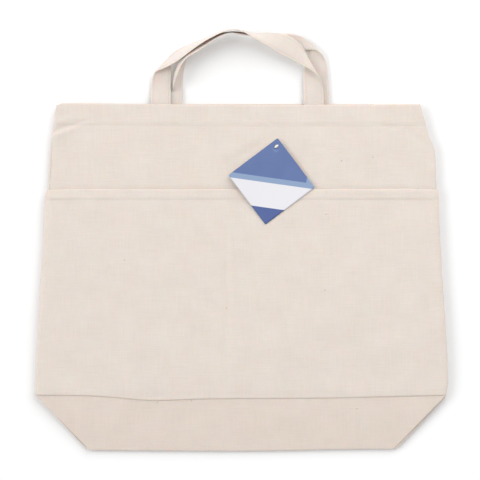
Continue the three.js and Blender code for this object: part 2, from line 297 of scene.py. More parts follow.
def waves(x, y, size, seed):
    """Smooth random relief from -1 to 1 whose lumps are about size across."""
    lattice = np.random.default_rng(seed).uniform(-1, 1, (64, 64))
    u = x / size + 32
    v = y / size + 32
    i = np.floor(u).astype(int)
    j = np.floor(v).astype(int)
    f = step(0, 1, u - i)
    g = step(0, 1, v - j)
    low = lattice[i % 64, j % 64] * (1 - f) + lattice[(i + 1) % 64, j % 64] * f
    high = lattice[i % 64, (j + 1) % 64] * (1 - f) + lattice[(i + 1) % 64, (j + 1) % 64] * f
    return low * (1 - g) + high * g


def fold_relief(x, y, folds):
    """The height that a list of creases adds to the cloth."""
    total = np.zeros_like(x)
    for x0, y0, x1, y1, width, height in folds:
        length = math.hypot(x1 - x0, y1 - y0)
        ux, uy = (x1 - x0) / length, (y1 - y0) / length
        along = ((x - x0) * ux + (y - y0) * uy) / length
        across = (x - x0) * uy - (y - y0) * ux
        fade = step(-0.25, 0.3, along) * (1 - step(0.7, 1.25, along))
        total += height * MM * fade * np.exp(-((across / (width * MM)) ** 2))
    return total


def outline_x(y, share, inset=0.0):
    """X at a share (0 left, 1 right) of the bag's width at each height."""
    left = -line(LEFT_EDGE, y) + inset
    right = line(RIGHT_EDGE, y) - inset
    return left + (right - left) * share


def half_width(y):
    """The hinge line's distance from the bag's middle."""
    return BASE_HALF - (y - BASE_Y) * math.tan(TAPER)


def edge_clustered(count):
    """Shares from 0 to 1, closer together near both ends."""
    t = np.linspace(0, 1, count)
    return 0.55 * t + 0.45 * (0.5 - 0.5 * np.cos(np.pi * t))


def rounded_corner(y, top):
    """How far the upper left corner is rounded off towards the right."""
    radius = 8 * MM
    drop = np.clip((y - (top - radius)) / radius, 0, 1)
    return radius * (1 - np.sqrt(1 - drop * drop * 0.98))


def panel_grid(columns, rows, inset, drop):
    """X and Y over a whole panel, whose upper edge follows the mouth's own line, lower by drop."""
    share = edge_clustered(columns)[None, :]
    y = BASE_Y + (TOP_Y - BASE_Y) * np.linspace(0, 1, rows)[:, None]
    x = outline_x(y, share, inset)
    top = line(TOP_EDGE, x) - drop
    y = BASE_Y + (y - BASE_Y) * (top - BASE_Y) / (TOP_Y - BASE_Y)
    x = x + rounded_corner(y, top) * (1 - share) ** 6
    return x, y


# ---------------------------------------------------------------- meshes


def link(obj, material):
    """Puts an object in the scene with its material."""
    bpy.context.scene.collection.objects.link(obj)
    obj.data.materials.append(material)
    return obj


def finish_mesh(name, vertices, faces, weave, material):
    """A smooth mesh with its faces pointing out, which carries its thread coordinates."""
    mesh = bpy.data.meshes.new(name)
    corners = vertices[np.array([f[:3] for f in faces])]
    volume = np.einsum("ij,ij->i", corners[:, 0], np.cross(corners[:, 1], corners[:, 2])).sum()
    if volume < 0:
        faces = [f[::-1] for f in faces]
    mesh.from_pydata(vertices.tolist(), [], [list(map(int, f)) for f in faces])
    mesh.update()
    threads = mesh.attributes.new("weave", "FLOAT_VECTOR", "POINT")
    threads.data.foreach_set("vector", weave.astype(np.float32).ravel())
    mesh.shade_smooth()
    return link(bpy.data.objects.new(name, mesh), material)


def surface_normals(middle):
    """The unit normal at each point of a grid."""
    normal = np.cross(np.gradient(middle, axis=1), np.gradient(middle, axis=0))
    return normal / np.linalg.norm(normal, axis=2, keepdims=True)


def quads(start, rows, cols):
    """The faces of a grid of vertices that starts at an index."""
    r, c = np.meshgrid(np.arange(rows - 1), np.arange(cols - 1), indexing="ij")
    a = (start + r * cols + c).ravel()
    return np.stack([a, a + 1, a + cols + 1, a + cols], axis=1)


def border_loop(rows, cols):
    """Row and column of each vertex round the edge of a grid."""
    loop = [(0, c) for c in range(cols)]
    loop += [(r, cols - 1) for r in range(1, rows)]
    loop += [(rows - 1, c) for c in range(cols - 2, -1, -1)]
    loop += [(r, 0) for r in range(rows - 2, 0, -1)]
    return np.array(loop)


def cloth(name, middle, weave, material, thickness=CANVAS):
    """A closed thin sheet with rounded edges round a grid of points through its middle."""
    rows, cols = middle.shape[:2]
    normal = surface_normals(middle)
    half = np.broadcast_to(np.asarray(thickness) / 2, (rows, cols))[..., None]
    loop = border_loop(rows, cols)
    r, c = loop[:, 0], loop[:, 1]
    inner = middle[np.clip(r, 1, rows - 2), np.clip(c, 1, cols - 2)]
    outward = middle[r, c] - inner
    outward -= (outward * normal[r, c]).sum(1, keepdims=True) * normal[r, c]
    outward /= np.linalg.norm(outward, axis=1, keepdims=True)
    rim = middle[r, c] + outward * half[r, c]
    count = rows * cols
    vertices = np.concatenate([
        (middle + normal * half).reshape(-1, 3),
        (middle - normal * half).reshape(-1, 3),
        rim,
    ])
    upper = r * cols + c
    around = np.arange(len(loop)) + 2 * count
    following = np.roll(around, -1)
    next_upper = np.roll(upper, -1)
    faces = np.concatenate([
        quads(0, rows, cols),
        quads(count, rows, cols)[:, ::-1],
        np.stack([next_upper, upper, around, following], axis=1),
        np.stack([upper + count, next_upper + count, following, around], axis=1),
    ])
    threads = np.concatenate([weave.reshape(-1, 3), weave.reshape(-1, 3), weave[r, c]])
    return finish_mesh(name, vertices, faces, threads, material)


def flat_weave(x, y, offset=0.0):
    """Thread coordinates for cloth that lies along X and Y."""
    return np.stack([x + offset, y + offset, np.zeros_like(x)], axis=2)


def stitches(name, starts, ends, up, material, width):
    """A row of sewn stitches: short rounded threads, each from its start to its end, raised in the
    middle. Each ring of a thread has its place along it, its size and its rise."""
    rings = [(0.0, 0.25, -0.5), (0.12, 0.8, 0.1), (0.5, 1.0, 0.5), (0.88, 0.8, 0.1), (1.0, 0.25, -0.5)]
    sides = STITCH_SIDES
    along = ends - starts
    across = np.cross(along, up)
    across /= np.linalg.norm(across, axis=1, keepdims=True)
    vertices = []
    for share, swell, rise in rings:
        centre = starts + along * share + up * (rise * 0.4 * width)
        for k in range(sides):
            angle = 2 * math.pi * k / sides
            offset = across * math.cos(angle) + up * math.sin(angle) * 0.7
            vertices.append(centre + offset * (swell * width / 2))
    vertices = np.stack(vertices, axis=1)
    count = len(starts)
    per = len(rings) * sides
    single = []
    for ring in range(len(rings) - 1):
        for k in range(sides):
            a, b = ring * sides + k, ring * sides + (k + 1) % sides
            single.append([a, b, b + sides, a + sides])
    faces = []
    for index in range(count):
        faces += [[index * per + v for v in face] for face in single]
        faces.append([index * per + k for k in range(sides)][::-1])
        faces.append([index * per + per - sides + k for k in range(sides)])
    weave = np.zeros((count * per, 3))
    weave[:, 0] = np.repeat(np.arange(count) * THREAD_STEP, per)
    return finish_mesh(name, vertices.reshape(-1, 3), faces, weave, material)


def stitch_path(points, ups):
    """Starts, ends and upward directions of stitches at an even pitch along a line of points."""
    gaps = np.linalg.norm(np.diff(points, axis=0), axis=1)
    travelled = np.concatenate([[0], np.cumsum(gaps)])
    places = np.arange(STITCH_PITCH, travelled[-1] - STITCH_PITCH, STITCH_PITCH)

    def at(values, place):
        return np.stack([np.interp(place, travelled, values[:, k]) for k in range(3)], axis=1)

    up = at(ups, places)
    up /= np.linalg.norm(up, axis=1, keepdims=True)
    return at(points, places), at(points, places + STITCH_PITCH * STITCH_SHARE), up


# ---------------------------------------------------------------- materials


class Nodes:
    """Short words for building one material's node tree."""

    def __init__(self, name, roughness):
        self.material = bpy.data.materials.new(name)
        self.material.use_nodes = True
        self.tree = self.material.node_tree
        self.shader = self.tree.nodes["Principled BSDF"]
        self.shader.inputs["Roughness"].default_value = roughness

    def add(self, kind, inputs=(), **settings):
        node = self.tree.nodes.new(kind)
        for key, value in settings.items():
            setattr(node, key, value)
        for key, value in dict(inputs).items():
            self.put(value, node.inputs[key])
        return node

    def put(self, value, socket):
        if isinstance(value, bpy.types.NodeSocket):
            self.tree.links.new(value, socket)
        else:
            socket.default_value = value

    def math(self, operation, first, second=0.0, third=0.0):
        return self.add("ShaderNodeMath", {0: first, 1: second, 2: third}, operation=operation).outputs[0]

    def attribute(self, name):
        return self.add("ShaderNodeAttribute", attribute_name=name).outputs["Vector"]

    def scaled(self, vector, scale):
        return self.add("ShaderNodeMapping", {"Vector": vector, "Scale": scale}).outputs[0]

    def noise(self, vector, scale, detail=2.0, roughness=0.5):
        inputs = {"Vector": vector, "Scale": scale, "Detail": detail, "Roughness": roughness}
        return self.add("ShaderNodeTexNoise", inputs).outputs["Fac"]

    def mix(self, factor, first, second):
        node = self.add("ShaderNodeMix", data_type="RGBA")
        self.put(factor, node.inputs[0])
        self.put(first, node.inputs[6])
        self.put(second, node.inputs[7])
        return node.outputs[2]

    def remap(self, value, low, high, to_low, to_high):
        inputs = {0: value, 1: low, 2: high, 3: to_low, 4: to_high}
        return self.add("ShaderNodeMapRange", inputs).outputs[0]


def canvas_material(name, tones, glow, pitch=WEAVE_PITCH, specks=True):
    """Unbleached plain-woven cotton: crossing threads of uneven thickness, faint mottling and specks."""
    n = Nodes(name, 0.92)
    weave = n.attribute("weave")
    split = n.add("ShaderNodeSeparateXYZ", {0: weave}).outputs
    wander = n.noise(weave, 90.0, 2.0)
    turns = math.pi / pitch
    u = n.math("MULTIPLY_ADD", split[0], turns, n.math("MULTIPLY", wander, 1.6))
    v = n.math("MULTIPLY_ADD", split[1], turns, n.math("MULTIPLY", wander, -1.6))
    over = n.math("MULTIPLY", n.math("SINE", u), n.math("SINE", v))
    weft_slubs = n.noise(n.scaled(weave, (28.0, 1150.0, 1.0)), 1.0, 3.0, 0.6)
    warp_slubs = n.noise(n.scaled(weave, (1150.0, 28.0, 1.0)), 1.0, 3.0, 0.6)
    mottle = n.noise(weave, 34.0, 4.0, 0.6)
    fuzz = n.noise(weave, 420.0, 3.0, 0.7)
    tone = n.math("MULTIPLY_ADD", over, 0.055, 0.45)
    tone = n.math("MULTIPLY_ADD", weft_slubs, 0.42, tone)
    tone = n.math("MULTIPLY_ADD", warp_slubs, 0.34, tone)
    tone = n.math("MULTIPLY_ADD", mottle, 0.34, tone)
    tone = n.math("MULTIPLY_ADD", fuzz, 0.22, tone)
    share = n.remap(tone, 0.75, 1.45, 0.0, 1.0)
    light, dark = tones
    base = n.mix(share, (*dark, 1), (*light, 1))
    if specks:
        inputs = {"Vector": weave, "Scale": 24.0, "Randomness": 1.0}
        cells = n.add("ShaderNodeTexVoronoi", inputs, voronoi_dimensions="2D")
        chosen = n.add("ShaderNodeSeparateColor", {0: cells.outputs["Color"]}).outputs[0]
        near = n.remap(cells.outputs["Distance"], 0.010, 0.028, 1.0, 0.0)
        seed = n.math("MULTIPLY", near, n.math("GREATER_THAN", chosen, 0.92))
        base = n.mix(n.math("MULTIPLY", seed, 0.5), base, SPECK)
    n.put(base, n.shader.inputs["Base Color"])
    n.put(n.remap(fuzz, 0.3, 0.7, 0.86, 0.97), n.shader.inputs["Roughness"])
    n.shader.inputs["Subsurface Weight"].default_value = glow
    n.shader.inputs["Subsurface Radius"].default_value = (1.0, 0.45, 0.22)
    n.shader.inputs["Subsurface Scale"].default_value = 0.002
    n.shader.inputs["Sheen Weight"].default_value = 0.12
    n.shader.inputs["Sheen Roughness"].default_value = 0.6
    n.shader.inputs["Specular IOR Level"].default_value = 0.25
    height = n.math("MULTIPLY_ADD", weft_slubs, 0.5, n.math("MULTIPLY", warp_slubs, 0.5))
    height = n.math("MULTIPLY_ADD", over, 0.35, height)
    height = n.math("MULTIPLY_ADD", fuzz, 0.25, height)
    bump = n.add("ShaderNodeBump", {"Strength": 0.45, "Distance": 0.00022, "Height": height})
    n.put(bump.outputs[0], n.shader.inputs["Normal"])
    return n.material


def thread_material():
    """Cotton sewing thread: two twisted plies."""
    n = Nodes("sewing_thread", 0.7)
    weave = n.attribute("weave")
    place = n.add("ShaderNodeNewGeometry").outputs["Position"]
    ply = n.add("ShaderNodeTexWave", {"Vector": place, "Scale": 900.0, "Distortion": 1.0}).outputs["Fac"]
    tint = n.noise(weave, 300.0)
    share = n.math("MULTIPLY_ADD", ply, 0.5, n.math("MULTIPLY", tint, 0.5))
    n.put(n.mix(share, *THREAD_TONES), n.shader.inputs["Base Color"])
    bump = n.add("ShaderNodeBump", {"Strength": 0.5, "Distance": 0.0001, "Height": ply})
    n.put(bump.outputs[0], n.shader.inputs["Normal"])
    return n.material


def card_material():
    """Card printed in plain bands: a dark blue top, a pale blue band, white, and a blue foot."""
    n = Nodes("printed_card", 0.42)
    weave = n.attribute("weave")
    split = n.add("ShaderNodeSeparateXYZ", {0: weave}).outputs
    across, up, face = split[0], split[1], split[2]
    cloud = n.noise(weave, 40.0, 3.0)
    fibre = n.noise(weave, 900.0, 2.0)
    is_dark = n.math(
        "MULTIPLY", n.math("GREATER_THAN", up, DARK_FROM), n.math("LESS_THAN", across, DARK_UNTIL)
    )
    is_pale = n.math("GREATER_THAN", up, PALE_FROM)
    is_foot = n.math("LESS_THAN", up, FOOT_BELOW)
    is_printed = n.math("GREATER_THAN", face, 0.5)
    colour = n.mix(is_foot, n.mix(fibre, *CARD_WHITE), n.mix(cloud, *FOOT_BLUE))
    colour = n.mix(is_pale, colour, n.mix(fibre, *PALE_BLUE))
    colour = n.mix(is_dark, colour, n.mix(cloud, *DARK_BLUE))
    colour = n.mix(is_printed, n.mix(fibre, *RAW_CARD), colour)
    n.put(colour, n.shader.inputs["Base Color"])
    n.shader.inputs["Coat Weight"].default_value = 0.25
    n.shader.inputs["Coat Roughness"].default_value = 0.3
    n.put(n.remap(fibre, 0.3, 0.7, 0.36, 0.5), n.shader.inputs["Roughness"])
    bump = n.add("ShaderNodeBump", {"Strength": 0.15, "Distance": 0.00005, "Height": fibre})
    n.put(bump.outputs[0], n.shader.inputs["Normal"])
    return n.material


def nylon_material():
    """Clear white moulded plastic of the tag's pin."""
    n = Nodes("moulded_nylon", 0.3)
    place = n.add("ShaderNodeNewGeometry").outputs["Position"]
    cloud = n.noise(place, 700.0, 2.0)
    n.put(n.mix(cloud, *NYLON_TONES), n.shader.inputs["Base Color"])
    n.put(n.remap(cloud, 0.3, 0.7, 0.24, 0.38), n.shader.inputs["Roughness"])
    return n.material


def table_material():
    """The white table under the bag."""
    n = Nodes("white_table", 0.85)
    place = n.add("ShaderNodeNewGeometry").outputs["Position"]
    cloud = n.noise(place, 3.0, 2.0)
    n.put(n.mix(cloud, *TABLE_TONES), n.shader.inputs["Base Color"])
    n.shader.inputs["Specular IOR Level"].default_value = 0.1
    return n.material


CLOTH = canvas_material("natural_canvas", CLOTH_TONES, 0.3)
# Painted shade: the base's canvas is a darker copy of the panels' canvas
SHADED_BASE_CLOTH = canvas_material("base_canvas_painted_shade", SHADED_BASE_TONES, 0.3)
STRAPPING = canvas_material("canvas_strap", STRAP_TONES, 0.6, STRAP_PITCH, False)
THREAD = thread_material()
CARD = card_material()
NYLON = nylon_material()


# ---------------------------------------------------------------- the bag's cloths


def panel_height(x, y):
    """The front cloth's height above the table, through its middle."""
    z = FRONT_Z + 0.75 * MM * waves(x, y, 0.085, 3) + 0.30 * MM * waves(x, y, 0.032, 4)
    z += fold_relief(x, y, PANEL_FOLDS)
    return z


def hem_step(y):
    """The turned hem lies a little higher than the cloth below its stitches."""
    line_y = TOP_Y - HEM_DEPTH
    raised = 0.32 * MM * step(line_y - 2 * MM, line_y + 3 * MM, y)
    groove = -0.26 * MM * np.exp(-(((y - line_y) / (1.6 * MM)) ** 2))
    return raised + groove


def strap_marks(x, y):
    """The sewn strap ends show through the hem as low raised oblongs."""
    total = np.zeros_like(x)
    for middle in STRAP_MIDDLES:
        across = 1 - step(13 * MM, 18 * MM, np.abs(x - middle))
        total += 0.5 * MM * across * step(0.1425, 0.1465, y)
    return total


def edge_drop(x, y, reach=4 * MM, depth=0.8 * MM):
    """The cloth turns down where it folds over to the bag's sides."""
    left = -line(LEFT_EDGE, y)
    right = line(RIGHT_EDGE, y)
    near = np.minimum(x - left, right - x)
    return -depth * np.clip(1 - near / reach, 0, 1) ** 2


def make_front():
    """The front cloth, whose lower part lies under the pocket."""
    x, y = panel_grid(200, 190, 0.0, 0.0)
    z = panel_height(x, y) + edge_drop(x, y)
    z += (hem_step(y) + strap_marks(x, y)) * step(0.1, 0.13, y)
    valley = np.exp(-(((y - MOUTH_Y - 1.0 * MM) / (3 * MM)) ** 2))
    z -= 0.40 * MM * valley
    below = 1 - step(MOUTH_Y - 0.012, MOUTH_Y, y)
    z = z * (1 - below) + below * (FRONT_Z + edge_drop(x, y))
    piece = cloth("front_cloth", np.stack([x, y, z], axis=2), flat_weave(x, y), CLOTH)
    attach(piece, "front")
    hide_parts("front_panel")


def pocket_surface(x, y):
    """The pocket cloth's height, over the front cloth."""
    z = FRONT_Z + POCKET_LIFT
    hem = step(-POCKET_HEM_DEPTH - 1.5 * MM, -POCKET_HEM_DEPTH + 1.5 * MM, y - MOUTH_Y)
    z = z + (MOUTH_LIFT - POCKET_LIFT) * hem
    groove = np.exp(-(((y - MOUTH_Y + POCKET_HEM_DEPTH) / (1.2 * MM)) ** 2))
    z -= 0.18 * MM * groove
    middle = step(BASE_Y, BASE_Y + 0.06, y) * (1 - step(MOUTH_Y - 0.05, MOUTH_Y, y))
    calm = step(BASE_Y - 5 * MM, BASE_Y + 0.03, y)
    z += calm * (0.9 * MM * waves(x, y, 0.095, 12) + 0.35 * MM * waves(x, y, 0.040, 13))
    z += 0.9 * MM * middle
    z += calm * fold_relief(x, y, POCKET_FOLDS)
    z += 0.35 * MM * waves(x * 1.6, y * 0.2, 0.045, 14) * hem
    return z


def make_pocket():
    """The pocket: one cloth over the lower front, lapped a few millimetres over the base at its foot."""
    share = edge_clustered(200)[None, :]
    rows = np.linspace(0, 1, 140)[:, None]
    y = BASE_Y + (MOUTH_Y - BASE_Y) * rows
    proud = 0.4 * MM + 1.6 * MM * step(0.0, MOUTH_Y, y)
    x = outline_x(y, share, -proud)
    low = line(LAP_EDGE, x)
    high = line(MOUTH_EDGE, x)
    y = low + (high - low) * rows
    z = pocket_surface(x, y) + edge_drop(x, y, 4.5 * MM, 1.1 * MM)
    lap = 1 - step(BASE_Y - 4 * MM, BASE_Y + 8 * MM, y)
    z -= 0.72 * MM * lap
    piece = cloth("pocket_cloth", np.stack([x, y, z], axis=2), flat_weave(x, y, 0.31), CLOTH)
    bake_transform(piece)
    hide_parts("front_pocket")


def make_pocket_hem():
    """The pocket's upper edge, turned under and sewn."""
    share = np.linspace(0, 1, 120)[None, :]
    rows = np.linspace(0, 1, 12)[:, None]
    y = MOUTH_Y - POCKET_HEM_DEPTH + (POCKET_HEM_DEPTH - 1 * MM) * rows
    x = outline_x(y, share, 2 * MM)
    y = y + 0 * x
    z = pocket_surface(x, y) - 0.85 * MM
    piece = cloth("pocket_hem_cloth", np.stack([x, y, z], axis=2), flat_weave(x, y, 0.17), CLOTH, FLAP)
    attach(piece, "front")
    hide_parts("pocket_hem")


def make_back():
    """The back cloth, flat on the table."""
    x, y = panel_grid(120, 110, 0.6 * MM, 0.8 * MM)
    z = BACK_Z + 0 * x + 0.25 * MM * (waves(x, y, 0.07, 21) + 1) * step(-0.19, -0.1, y)
    z += 0.12 * MM * np.abs(waves(x, y, 0.02, 22))
    piece = cloth("back_cloth", np.stack([x, y, z], axis=2), flat_weave(x, y, 0.53), CLOTH)
    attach(piece, "back")
    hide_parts("back_panel")


def make_turned_edges():
    """The hems and seam allowances inside the bag."""
    edges = [
        ("front_hem_cloth", "front_top_hem", "front"), ("back_hem_cloth", "back_top_hem", "back"),
        ("front_seam_cloth", "front_base_seam", "front"), ("back_seam_cloth", "back_base_seam", "back"),
    ]
    for index, (name, node, body) in enumerate(edges):
        low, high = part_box(node)
        rows = np.linspace(0, 1, 10)[:, None]
        share = np.linspace(0, 1, 90)[None, :]
        first = low.y + EDGE_START
        y = first + (high.y - first) * rows
        half = half_width(y) - FOLD_DEPTH - 3 * MM
        x = -half + 2 * half * share
        y = y + 0 * x
        if node == "front_top_hem":
            y = y + (line(TOP_EDGE, x) - TOP_Y) * rows
        middle = (low.z + high.z) / 2
        z = middle + 0 * x + 0.12 * MM * waves(x, y, 0.02, 31 + index)
        piece = cloth(name, np.stack([x, y, z], axis=2), flat_weave(x, y, 0.07 * index), CLOTH, TURNED_EDGE)
        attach(piece, body)
        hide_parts(node)


def base_profile():
    """The base's section, as distance out from the hinge line and height, from the front seam round
    to the back one. Also its fold's height and radius."""
    radius = CANVAS / 2 + FOLD_GAP
    top = FRONT_HINGE_Z + radius
    bottom = REAR_HINGE_Z - radius
    middle = (top + bottom) / 2
    out = np.linspace(-0.5 * MM, FOLD_DEPTH, 34)
    front = np.stack([out, top - np.clip(out, 0, None) / FOLD_DEPTH * (top - middle - radius)], axis=1)
    angle = np.linspace(0, math.pi, 9)[1:-1]
    roll = np.stack([FOLD_DEPTH + radius * np.sin(angle), middle + radius * np.cos(angle)], axis=1)
    back = np.linspace(FOLD_DEPTH, 0, 24)
    rear = np.stack([back, bottom + back / FOLD_DEPTH * (middle - radius - bottom)], axis=1)
    return np.concatenate([front, roll, rear]), middle, radius


def make_base():
    """The base: one cloth folded in half outwards below the panels."""
    profile, middle, radius = base_profile()
    share = edge_clustered(180)[None, :]
    out, height = profile[:, :1], profile[:, 1:]
    reach = np.clip(out, 0, FOLD_DEPTH)
    left = -(BASE_LEFT + (FOLD_HALF - BASE_LEFT) * reach / FOLD_DEPTH)
    right = BASE_RIGHT + (FOLD_HALF - BASE_RIGHT) * reach / FOLD_DEPTH
    x = left + (right - left) * share
    bow = np.sin((x + 0.19) / 0.38 * math.pi) * (1 - step(0.0, 0.19, x))
    sway = 0.9 * MM * bow - 1.6 * MM * step(-0.02, 0.19, x)
    y = BASE_Y - out - sway * reach / FOLD_DEPTH
    bulge = np.sin(math.pi * reach / FOLD_DEPTH) * step(middle, middle + radius, height)
    z = height + bulge * (0.7 * MM + 0.55 * MM * waves(x, y, 0.06, 41) + 0.2 * MM * waves(x, y, 0.025, 42))
    gaps = np.linalg.norm(np.diff(profile, axis=0), axis=1)
    travelled = np.concatenate([[0], np.cumsum(gaps)])[:, None] + 0 * x
    piece = cloth("base_cloth", np.stack([x, y, z], axis=2), flat_weave(x, travelled, 0.77), SHADED_BASE_CLOTH)
    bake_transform(piece)
    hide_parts("base_front", "base_rear")


def flap(name, edge, inward, lengths, normal, offset, node, thickness, material):
    """Cloth that rolls tightly round a fold line and lies flat under the cloth that it hangs from.
    edge holds points along the fold line, and lengths how far the flap reaches from each; inward is
    the direction in which it lies, and normal the one in which its parent cloth is. It turns inside a band
    clear of both of its flat parts."""
    radius = FLAP_RADIUS
    angle = np.linspace(0, math.pi, 8)
    share = np.linspace(0, 1, 26)[1:]
    inward = np.asarray(inward)
    normal = np.asarray(normal)
    columns = []
    for a in angle:
        columns.append(edge + normal * (radius * math.cos(a)) - inward * (radius * math.sin(a)))
    for s in share:
        columns.append(edge - normal * radius + inward * (lengths[:, None] * s))
    middle = np.stack(columns, axis=1)
    travelled = np.concatenate([angle * radius, math.pi * radius + share * lengths.max()])
    along = np.linalg.norm(edge - edge[0], axis=1)
    weave = np.stack(np.broadcast_arrays(travelled[None, :] + offset, along[:, None] + offset, 0.0), axis=2)
    piece = cloth(name, middle, weave, material, thickness)
    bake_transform(piece)
    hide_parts(node)


def make_sides():
    """The four side halves, folded in between the panels."""
    y = np.linspace(BASE_Y + 0.5 * MM, TOP_Y - 1.5 * MM, 90)
    for index, ((hand, sign), (half, facing, z)) in enumerate(itertools.product(HANDS, HALVES)):
        reach = line(OUTLINE[hand], y) - FLAP_INSET
        lengths = FOLD_DEPTH - 0.5 * MM - (half_width(y) - reach)
        edge = np.stack([sign * reach, y, np.full_like(y, z)], axis=1)
        lean = SIDE_TILT * facing
        inward = (
            -sign * math.cos(TAPER) * math.cos(lean),
            -math.sin(TAPER) * math.cos(lean),
            -math.sin(lean),
        )
        name = f"side_{half}_{hand}"
        flap(
            f"{name}_cloth", edge, inward, lengths, (0, 0, facing), 0.11 * index,
            name, FLAP, CLOTH,
        )


def make_corners():
    """The base's four corners, tucked in along their creases between the base's halves."""
    out = np.linspace(2 * MM, FOLD_DEPTH - 1 * MM, 40)
    for index, ((hand, sign), (half, facing, z)) in enumerate(itertools.product(HANDS, HALVES)):
        lean = BASE_TILT * facing
        down = np.array([0, -math.cos(lean), -math.sin(lean)])
        normal = np.array([0, -math.sin(lean), math.cos(lean)]) * facing
        edge = np.array([0, BASE_Y, z]) + out[:, None] * down
        edge[:, 0] = sign * (BASE_HALF - out * math.tan(CREASE) - FLAP_INSET)
        lengths = out * math.tan(CREASE) * 0.97
        inward = -down * math.sin(2 * CREASE)
        inward[0] = -sign * math.cos(2 * CREASE)
        name = f"corner_{half}_{hand}"
        flap(
            f"base_{name}_cloth", edge, inward, lengths, normal, 0.13 * index,
            f"base_{name}", CORNER_FLAP, SHADED_BASE_CLOTH,
        )


# ---------------------------------------------------------------- handles


def catmull_rom(points, per_span):
    """Points along a smooth curve through the given ones."""
    padded = np.concatenate([[2 * points[0] - points[1]], points, [2 * points[-1] - points[-2]]])
    made = []
    for index in range(len(points) - 1):
        a, b, c, d = padded[index:index + 4]
        for t in np.linspace(0, 1, per_span, endpoint=False):
            made.append(0.5 * (2 * b + (c - a) * t + (2 * a - 5 * b + 4 * c - d) * t ** 2
                               + (3 * b - a - 3 * c + d) * t ** 3))
    made.append(points[-1])
    return np.array(made)


def tucked(stations):
    """The handle's stations in metres, with its two ends carried down inside the hem."""
    points = np.array(stations, float) * MM
    ends = []
    for end in (points[0], points[-1]):
        lower = end.copy()
        lower[:, 1] -= STRAP_TUCK
        middle = (end + lower) / 2
        ends.append((lower, middle))
    return np.concatenate([[ends[0][0]], [ends[0][1]], points, [ends[1][1]], [ends[1][0]]])


def strap_grid(stations, bulge):
    """Points through the strap's middle, and how far along the strap each row of them is."""
    edges = tucked(stations)
    first = catmull_rom(edges[:, 0], PER_SPAN)
    second = catmull_rom(edges[:, 1], PER_SPAN)
    across = np.array(STRAP_ACROSS)
    middle = first[:, None, :] * (1 - across[None, :, None]) + second[:, None, :] * across[None, :, None]
    station = np.arange(len(first)) / PER_SPAN - 2
    swell = np.interp(station, np.arange(len(bulge) + 1), [*bulge, 0]) * MM
    middle[..., 0] -= swell[:, None] * (1 - (2 * across - 1) ** 2)[None, :]
    centre = (first + second) / 2
    gaps = np.linalg.norm(np.diff(centre, axis=0), axis=1)
    return middle, np.concatenate([[0], np.cumsum(gaps)])


def sew_strap(side, middle, thickness):
    """Stitches along both edges of a strap, on both of its faces."""
    normal = surface_normals(middle)
    rows = []
    for column in SEWN_COLUMNS:
        for face in (-1, 1):
            surface = middle[:, column] + normal[:, column] * face * thickness[:, column, None] / 2
            rows.append(stitch_path(surface, normal[:, column] * face))
    starts, ends, ups = (np.concatenate(parts) for parts in zip(*rows))
    sewn = stitches(f"{side}_handle_stitches", starts, ends, ups, THREAD, 0.5 * MM)
    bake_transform(sewn)


def make_handle(side, stations, seed, bulge=(0,)):
    """One handle: a strap of doubled canvas, sewn along both edges, from leg to leg."""
    middle, travelled = strap_grid(stations, bulge)
    across = np.array(STRAP_ACROSS)
    length = travelled[-1]
    free = step(0.03, 0.06, travelled) * (1 - step(length - 0.06, length - 0.03, travelled))
    along = travelled[:, None] + 0 * across[None, :]
    ripple = waves(along, across[None, :] * 0.02 + 0 * along, 0.016, seed) * 0.5 * MM
    middle = middle + surface_normals(middle) * (ripple * free[:, None])[..., None]
    sewn = np.array([STRAP_ACROSS[column] for column in SEWN_COLUMNS])
    groove = np.exp(-(((across[:, None] - sewn) / 0.022) ** 2)).sum(axis=1)
    crown = 1 - (2 * across - 1) ** 4
    thickness = STRAP * (0.72 + 0.38 * crown - 0.22 * groove)[None, :] + 0 * along
    weave = np.stack([along, across[None, :] * STRAP_WIDTH + seed + 0 * along, 0 * along], axis=2)
    piece = cloth(f"{side}_handle_strap", middle, weave, STRAPPING, thickness)
    body = f"{side}_handle"
    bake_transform(piece)
    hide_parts(body, f"{side}_strap_end_left", f"{side}_strap_end_right")
    sew_strap(side, middle, thickness)


# ---------------------------------------------------------------- sewing and tag


def surface_stitches(name, x, y, height):
    """A line of stitches lying on the front, at the cloth's height at each point."""
    points = np.stack([x, y, height + CANVAS / 2 + THREAD_CLEAR], axis=1)
    ups = np.zeros_like(points)
    ups[:, 2] = 1
    piece = stitches(name, *stitch_path(points, ups), THREAD, 0.6 * MM)
    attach(piece, "front")


def make_stitching():
    """The sewn lines of the top hem and the pocket's hem."""
    x = np.linspace(*TOP_SEAM, 600)
    y = TOP_Y - HEM_DEPTH + (line(TOP_EDGE, x) - TOP_Y)
    surface_stitches("top_hem_stitches", x, y, panel_height(x, y) + hem_step(y) + strap_marks(x, y))
    x = np.linspace(*POCKET_SEAM, 600)
    y = MOUTH_Y - POCKET_HEM_DEPTH + (line(MOUTH_EDGE, x) - MOUTH_Y) * 0.6
    surface_stitches("pocket_hem_stitches", x, y, pocket_surface(x, y))


def tag_height(x, y):
    """The card's height: it follows the bag's soft surface, and its left corner stands up a little."""
    lift = step(0.012, 0.062, PIN_X - x)
    return TAG_Z - 1.0 * MM * step(0, 0.09, PIN_Y - y) + 3.2 * MM * lift


